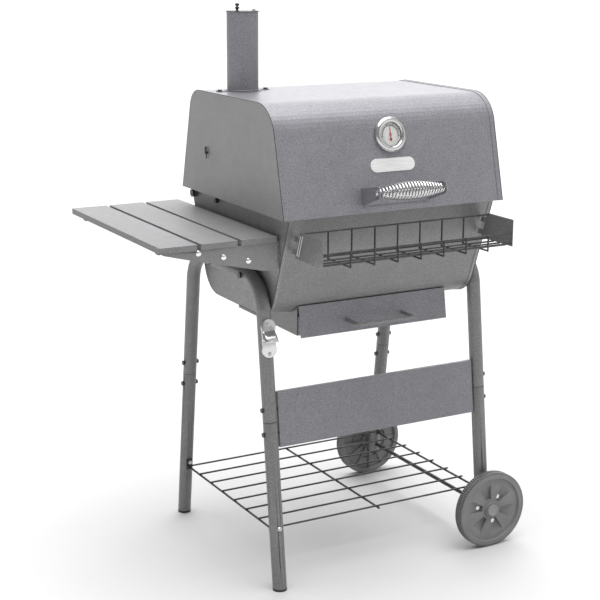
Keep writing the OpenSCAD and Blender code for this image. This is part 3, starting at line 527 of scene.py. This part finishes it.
def pointer_needle(place):
    """A flat tapered needle with a round hub and a round counterweight."""
    low, high = 0.0049, 0.0057
    outline = [(-0.0008, -0.010), (0.0008, -0.010), (0.0006, 0.012), (0.0002, 0.0185),
               (-0.0002, 0.0185), (-0.0006, 0.012)]
    count = len(outline)
    points = [place @ Vector((x, y, h)) for h in (low, high) for x, y in outline]
    faces = [tuple(reversed(range(count))), tuple(range(count, 2 * count))]
    faces += [(i, (i + 1) % count, count + (i + 1) % count, count + i) for i in range(count)]
    bulb = [(0.0, 0.0046), (0.0024, 0.0047), (0.0031, 0.0053), (0.0024, 0.0060), (0.0, 0.0062)]
    tail = place @ Matrix.Translation((0, -0.011, 0))
    points, faces = joined([(points, faces), lathe(bulb, tail, 28), lathe(bulb, place, 28)])
    make_piece("pointer_needle", points, faces, "red", "pointer", ["thermometer_pointer"])


def thermometer():
    base = middle("thermometer_glass") - LID_OUT * 9.35 * MM
    place = facing(base, LID_OUT, LID_UP)
    thermometer_bezel(place)
    dial_plate(place)
    dial_marks(place)
    dial_lens(place)
    pointer_needle(place)


# ---------------------------------------------------------------- bolts
def dome(place, diameter, height):
    """A round-headed bolt's head that stands on local z = 0."""
    r = diameter / 2
    profile = [(r * 0.96, 0), (r, height * 0.12), (r, height * 0.28)]
    profile += [(r * math.cos(a), height * (0.28 + 0.72 * math.sin(a)))
                for a in [math.pi / 2 * i / 8 for i in range(1, 9)]]
    return lathe(profile, place, 28)


def shelf_bolt_heads():
    """The bright bolts along the side shelf: domed head, shank and hex nut."""
    head, head_width, shank_radius = 3.8 * MM, 13.4 * MM, 3 * MM
    parts = []
    for low, high in solids("shelf_bolts"):
        centre = (low + high) / 2
        front = centre.y < 0
        y = low.y if front else high.y
        out = Vector((0, -1 if front else 1, 0))
        base = Vector((centre.x, y, centre.z)) - out * head
        parts.append(dome(facing(base, out, Z_AXIS), head_width, head))
        path = [base - out * k * MM for k in (0, 4, 8, 10.4)]
        parts.append(tube(path, shank_radius, 16))
        nut = base - out * 6 * MM
        parts.append(tube([nut, nut - out * 4.4 * MM], 5.4 * MM, 6))
    points, faces = joined(parts)
    make_piece("shelf_bolt_heads", points, faces, "bright", "cart", ["shelf_bolts"])


# ---------------------------------------------------------------- wheels
RIM = 0.0805             # radius of the flat rim's inner edge
BOSS = 0.0190            # radius of the hub's boss
DISH = 0.0052            # how far the face between them is sunk
POCKET_DEPTH = 0.0086    # and how much deeper its six pockets go
BACK_DEPTH = 0.0075      # how far the back is hollowed
DISC_EDGE = 0.0865       # radius where the disc ends and the tyre starts
GAP_SHARE = 0.4          # share of each block's pitch that is gap
EYELET_RADIUS = 0.0355   # how far the three eyelets are from the axle
POCKETS = [math.radians(48 + 60 * k) for k in range(6)]


def smooth_step(low, high, value):
    """0 below low, 1 above high, and an even curve between them."""
    t = min(1, max(0, (value - low) / (high - low)))
    return t * t * (3 - 2 * t)


def face_depth(r, a):
    """How far the wheel's front face lies below its rim at radius r, angle a."""
    deep = DISH * smooth_step(BOSS, BOSS + 0.0014, r) * (1 - smooth_step(RIM - 0.001, RIM, r))
    off = min(abs((a - c + math.pi) % (2 * math.pi) - math.pi) for c in POCKETS)
    side = 1 - smooth_step(math.radians(14.0), math.radians(15.2), off)
    start = smooth_step(0.0262, 0.0278, r)
    pocket = POCKET_DEPTH * max(0.0, 1 - (max(0.0, r - 0.028) / 0.039) ** 2.4)
    return deep + pocket * side * start


def back_depth(r, a):
    """The same for the back: an open ring with twelve moulded ribs."""
    ring = smooth_step(0.0235, 0.0245, r) * (1 - smooth_step(0.0815, 0.0825, r))
    off = abs((a + math.pi / 12) % (math.pi / 6) - math.pi / 12) * r
    rib = 1 - smooth_step(0.0010, 0.0018, off)
    step = 1 - smooth_step(0.0008, 0.0016, abs(r - 0.052))
    return BACK_DEPTH * ring * (1 - max(rib * 0.8, step * 0.6))


def wheel_disc(place, width, steps=360):
    """The wheel inside its tyre: a bore, a recess for the hub cap, and both faces."""
    bore, recess = 0.0051, width - 0.007
    rings = [(bore, recess), (0.0119, recess), (0.0120, width)]
    rings += [(0.0122 + k * 0.00094, width) for k in range(80)]
    rings += [(DISC_EDGE, width / 2), (DISC_EDGE, 0.0012)]
    rings += [(0.0864 - k * 0.0014, 0.0) for k in range(57)]
    rings += [(bore, 0.0), (bore, recess)]
    points = []
    for r, h in rings:
        for i in range(steps):
            a = 2 * math.pi * i / steps
            depth = face_depth(r, a) if h == width else 0.0
            rise = back_depth(r, a) if h == 0.0 else 0.0
            points.append(place @ Vector((r * math.cos(a), r * math.sin(a), h - depth + rise)))
    return points, grid_faces(len(rings), steps, False, True)


def tread_ring(place, radius, width, blocks=96, fine=10):
    """The tyre: a flat shoulder with teeth, and two rows of offset blocks."""
    steps = blocks * fine
    tooth_cut, gap_cut, groove_cut, shoulder_cut = 0.0024, 0.0036, 0.0026, 0.0010
    rings = [("in", 0.0860, 0.0010), ("in", 0.0860, width - 0.0004), ("in", 0.0866, width)]
    rings += [("face", 0.0885, width), ("tooth", 0.0905, width), ("tooth", 0.0925, width),
              ("tooth", 0.0940, width - 0.0002)]
    rings += [("tread", radius, width - 0.0010 - k * (width - 0.0020) / 20) for k in range(21)]
    rings += [("back", 0.0940, 0.0002), ("back", 0.0925, 0.0), ("in", 0.0866, 0.0),
              ("in", 0.0860, 0.0010)]
    points = []
    for kind, r, h in rings:
        for i in range(steps):
            a = 2 * math.pi * i / steps
            turn = i % fine / fine
            rr, hh = r, h
            if kind == "tooth":
                cut = tooth_cut if turn < GAP_SHARE else 0.0
                hh = h - cut * smooth_step(0.0895, 0.0925, r)
            elif kind == "tread":
                upper = h > width / 2
                slant = 0.22 * abs(h / width * 2 - 1)
                gap = (turn + slant + (0.5 if upper else 0.0)) % 1 < GAP_SHARE
                centre = abs(h - width / 2) < 0.0013
                rr = r - (gap_cut if gap else groove_cut if centre else 0.0)
                rr -= shoulder_cut * (1 - smooth_step(0.0, 0.0024, min(h, width - h)))
            points.append(place @ Vector((rr * math.cos(a), rr * math.sin(a), hh)))
    return points, grid_faces(len(rings), steps, False, True)


def wheel_skin(end, out):
    """A moulded wheel: hub, six pockets, rim, toothed shoulder and blocky tread."""
    node, body = "wheel_" + end, end + "_wheel"
    low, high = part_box(node)
    centre = (low + high) / 2
    radius, width = (high.z - low.z) / 2, high.y - low.y
    back = Vector((centre.x, high.y if out.y < 0 else low.y, centre.z))
    place = facing(back, out, Z_AXIS)
    disc = wheel_disc(place, width)
    tread = tread_ring(place, radius, width)
    points, faces = joined([disc, tread])
    make_piece("tyre_" + end, points, faces, "tyre", body, [node], crease=25)
    eyes = []
    for a in POCKETS[::2]:
        at = place @ Matrix.Translation((EYELET_RADIUS * math.cos(a),
                                         EYELET_RADIUS * math.sin(a), width - 0.0136))
        eyes.append(lathe([(0.0058, 0.0), (0.0058, 0.0008), (0.0050, 0.0012),
                           (0.0046, 0.0004), (0.0, 0.0004)], at, 28))
    points, faces = joined(eyes)
    make_piece("eyelets_" + end, points, faces, "hole", body)


def hub_cap(end, out):
    """A flat-topped cap with a shallow ring, on a stem that fits the wheel's recess."""
    stem = 4 * MM
    node = "hub_cap_" + end
    low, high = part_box(node)
    centre = (low + high) / 2
    base = Vector((centre.x, high.y if out.y < 0 else low.y, centre.z)) + out * stem
    place = facing(base, out, Z_AXIS)
    top = high.y - low.y - stem
    r = (high.x - low.x) / 2
    profile = [(0.0119, -0.004), (0.0119, 0.0), (r - 0.0004, 0.0001), (r, 0.0006),
               (r, top - 0.0012), (r - 0.0004, top - 0.0004), (r - 0.0012, top),
               (r - 0.0030, top), (r - 0.0036, top - 0.0008), (r - 0.0048, top - 0.0010),
               (0.0, top - 0.0006)]
    points, faces = lathe(profile, place, 56)
    make_piece("cap_" + end, points, faces, "cap", end + "_wheel", [node])


# ---------------------------------------------------------------- bottle opener
def hood_fall(s):
    """Height of the opener's hood across its width, s from -1 to 1, as a share of the most."""
    return max(0.0, 1 - abs(s) ** 9) ** 0.6


def opener():
    """A chrome wall opener: half-round plate with two screws and a hooded lip."""
    screws = [box for box in solids("panel_screws") if 0.5 < box[0].z < 0.7]
    mid = sum(((low + high) / 2 for low, high in screws), Vector()) / len(screws)
    out = Vector((0, -math.cos(LEG_LEAN), math.sin(LEG_LEAN)))
    up = Vector((0, math.sin(LEG_LEAN), math.cos(LEG_LEAN)))
    place = facing(mid + up * 0.5 * MM, out, up)
    outline = arc_points(0, 0.026, 0.019, 0, 180, 20)
    outline += [(-0.0172, 0.018), (-0.0168, 0.0), (-0.0172, -0.018)]
    outline += arc_points(0, -0.024, 0.019, 180, 360, 20)
    outline += [(0.0172, -0.018), (0.0168, 0.0), (0.0172, 0.018)]
    rows = []
    for inset, h in ((0.0006, 0.0002), (0.0, 0.0009), (0.0, 0.0024), (0.0007, 0.0032)):
        k = 1 - inset / 0.019
        rows += [place @ Vector((x * k, y * k, h)) for x, y in outline]
    count = len(outline)
    faces = grid_faces(4, count, False, True)
    faces.append(tuple(range(3 * count, 4 * count)))
    faces.append(tuple(reversed(range(count))))
    parts = [(rows, faces)]
    # The hood: a curved shell, wide and low at its lip, blending into the plate above
    columns, lines = 25, 15
    shell = []
    for thick in (0.0, 0.0019):
        for i in range(lines):
            t = i / (lines - 1)
            y = 0.0185 - 0.0235 * t
            reach = 0.0032 + 0.0172 * math.sin(math.pi / 2 * min(1, t * 1.12)) ** 1.15
            half = 0.0150 + 0.0036 * t
            for j in range(columns):
                s = -1 + 2 * j / (columns - 1)
                fall = hood_fall(s)
                h = 0.0026 + (reach - 0.0026 - thick) * fall
                shell.append(place @ Vector((s * (half - thick), y - thick * 0.6 * (1 - t), h)))
    size = lines * columns
    hood = grid_faces(lines, columns)
    inner = [tuple(reversed([k + size for k in face])) for face in hood]
    rim = [((lines - 1) * columns + j, (lines - 1) * columns + j + 1,
            size + (lines - 1) * columns + j + 1, size + (lines - 1) * columns + j)
           for j in range(columns - 1)]
    parts.append((shell, hood + inner + rim))
    lip = []
    for j in range(columns):
        s = -1 + 2 * j / (columns - 1)
        lip.append(place @ Vector((s * 0.0184, -0.0052, 0.0030 + 0.0165 * hood_fall(s))))
    parts.append(tube(lip, 0.0013, 10))
    points, faces = joined(parts)
    make_piece("opener_body", points, faces, "chrome", "cart", ["bottle_opener"])


# ---------------------------------------------------------------- small lathe-made parts
def damper_knob():
    low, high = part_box("damper_knob")
    centre = (low + high) / 2
    place = Matrix.Translation((centre.x, centre.y, low.z))
    h = high.z - low.z
    profile = [(0.0034, 0.0), (0.0033, h * 0.05), (0.0026, h * 0.12), (0.0026, h * 0.22)]
    profile += arc_points(0.0026, h * 0.38, 0.0026, -80, 80, 9)
    profile += [(0.0021, h * 0.58), (0.0020, h * 0.64)]
    profile += arc_points(0.0020, h * 0.82, 0.0031, -62, 62, 9)
    profile += [(0.0018, h * 0.992), (0.0, h)]
    points, faces = lathe(profile, place, 40)
    make_piece("knob", points, faces, "black", "chimney_damper", ["damper_knob"])


def chimney_bead():
    """The rolled bead where the chimney tube meets its flange."""
    low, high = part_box("chimney_tube")
    centre = (low + high) / 2
    radius = (high.x - low.x) / 2
    place = Matrix.Translation((centre.x, centre.y, low.z + 1.6 * MM))
    roll = 0.0013
    bead = arc_points(radius, roll, roll, -90, 90, 8)
    points, faces = lathe(bead, place, 80)
    make_piece("chimney_bead", points, faces, "lid", "lid")


# ---------------------------------------------------------------- seams: dark lines painted as the shadow in the joints' gaps
def gap_shadow_line(name, outline, xs, body):
    """A thin dark line along the joint where sheet metal meets an end plate, at each x given: the
    joint is real, its darkness is painted shadow standing in for the shade in the narrow gap.
    """
    parts = [tube([Vector((x, y, z)) for y, z in outline], 0.8 * MM, 8) for x in xs]
    points, faces = joined(parts)
    # near-black enamel laid along the joint: painted shadow of its gap
    make_piece(name, points, faces, "wire", body)


def hood_outline(low, high):
    """The lid's outline in Y and Z: leaning sides and two rolled corners."""
    front, rear = 0.080, 0.050    # radii of the corners
    mid, half = (low.y + high.y) / 2, (high.y - low.y) / 2
    top = half - LID_SLOPE * (high.z - low.z)
    k = math.tan((math.pi / 2 - LID_LEAN) / 2)
    turn = 90 - math.degrees(LID_LEAN)
    path = [(-half, low.z)]
    path += arc_points(-top + front * k, high.z - front, front, 90 + turn, 90, 12)
    path += arc_points(top - rear * k, high.z - rear, rear, 90, 90 - turn, 10)
    path += [(half, low.z)]
    return [(mid + y, z) for y, z in path]


def lid_gap_shadows():
    """Painted gap shadow where the lid's skin meets its two end plates."""
    left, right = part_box("lid_end_left"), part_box("lid_end_right")
    outline = hood_outline(left[0], left[1])
    gap_shadow_line("lid_gap_shadows", outline, (left[0].x + 0.4 * MM, right[1].x - 0.4 * MM), "lid")


def firebox_gap_shadows():
    """Painted gap shadow where the firebox meets its end plates; follows the firebox's outline
    below the lid: leaning sides and a rolled bottom.
    """
    left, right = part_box("firebox_end_left"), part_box("firebox_end_right")
    low, high = left
    mid, r = (low.y + high.y) / 2, 0.074
    lean_angle = math.degrees(math.atan(FIREBOX_SLOPE))
    foot = (high.y - low.y) / 2 - FIREBOX_SLOPE * (high.z - low.z)
    c = foot - r * math.tan(math.radians(90 - lean_angle) / 2)
    rim = high.z - 0.012
    path = [(-foot - FIREBOX_SLOPE * (rim - low.z), rim)]
    path += arc_points(-c, low.z + r, r, 180 + lean_angle, 270, 12)
    path += arc_points(c, low.z + r, r, 270, 360 - lean_angle, 12)
    path += [(foot + FIREBOX_SLOPE * (rim - low.z), rim)]
    outline = [(mid + y, z) for y, z in path]
    gap_shadow_line("firebox_gap_shadows", outline, (low.x + 0.4 * MM, right[1].x - 0.4 * MM), "cart")


def splice_lines():
    """The thin dark joint round each leg where its two tubes meet."""
    r = 16.5 * MM
    steps = 48
    parts = []
    for node in ("lower_legs_left", "lower_legs_right"):
        for low, high in solids(node):
            front = low.y < 0
            axis = Vector((0, math.sin(LEG_LEAN) * (1 if front else -1), math.cos(LEG_LEAN)))
            inner = high.y if front else low.y
            y = inner + (-1 if front else 1) * r / math.cos(LEG_LEAN)
            centre = Vector(((low.x + high.x) / 2, y, high.z - r * math.sin(LEG_LEAN)))
            across = axis.cross(X_AXIS)
            ring = [centre + r * (math.cos(t) * X_AXIS + math.sin(t) * across)
                    for t in [2 * math.pi * i / steps for i in range(steps)]]
            parts.append(tube(ring, 0.5 * MM, 6, True))
    points, faces = joined(parts)
    make_piece("splice_lines", points, faces, "wire", "cart")


dress_cad()
lid_gap_shadows()
firebox_gap_shadows()
splice_lines()
coil_grip()
thermometer()
shelf_bolt_heads()
for end, out in (("front", Vector((0, -1, 0))), ("rear", Vector((0, 1, 0)))):
    wheel_skin(end, out)
    hub_cap(end, out)
opener()
damper_knob()
chimney_bead()


# ---------------------------------------------------------------- floor, light, camera
def floor():
    """A wide pale floor."""
    p = Paint("studio_floor", 0.9)
    p.colour(p.ramp(p.noise(3, 2), [(0.3, grey(0.575)), (0.7, grey(0.585))]))
    mesh = bpy.data.meshes.new("floor")
    size = 40
    mesh.from_pydata([(-size, -size, 0), (size, -size, 0), (size, size, 0), (-size, size, 0)],
                     [], [(0, 1, 2, 3)])
    mesh.materials.append(p.material)
    obj = bpy.data.objects.new("floor", mesh)
    bpy.context.scene.collection.objects.link(obj)


def sun(name, power, spread, lean, heading):
    """A broad soft light from far away; lean is from straight up, heading about +Z."""
    light = bpy.data.lights.new(name, "SUN")
    light.energy, light.angle = power, math.radians(spread)
    obj = bpy.data.objects.new(name, light)
    bpy.context.scene.collection.objects.link(obj)
    obj.rotation_euler = (math.radians(lean), 0, math.radians(heading))


def studio():
    """A dim white surround and three broad suns."""
    world = bpy.data.worlds.new("studio")
    world.use_nodes = True
    background = world.node_tree.nodes["Background"]
    background.inputs["Color"].default_value = (1.0, 1.0, 1.0, 1)
    background.inputs["Strength"].default_value = 0.30
    bpy.context.scene.world = world
    sun("top_light", 4.4, 70, 0, 0)
    sun("back_light", 1.5, 60, -66, -29)
    sun("side_light", 0.35, 60, 62, 46)


def camera():
    """The main view: from the front left, a little above."""
    data = bpy.data.cameras.new("camera")
    data.sensor_width = 36
    data.lens = 85.5
    data.clip_end = 100
    obj = bpy.data.objects.new("camera", data)
    bpy.context.scene.collection.objects.link(obj)
    heading, tilt, roll = math.radians(28.9), math.radians(14.07), math.radians(0.24)
    turn = (Matrix.Rotation(-heading, 4, "Z") @ Matrix.Rotation(math.pi / 2 - tilt, 4, "X")
            @ Matrix.Rotation(roll, 4, "Z"))
    obj.matrix_world = Matrix.Translation((-1.6220, -2.8916, 1.4450)) @ turn
    bpy.context.scene.camera = obj


floor()
studio()
camera()
bpy.context.scene.view_settings.view_transform = "Standard"
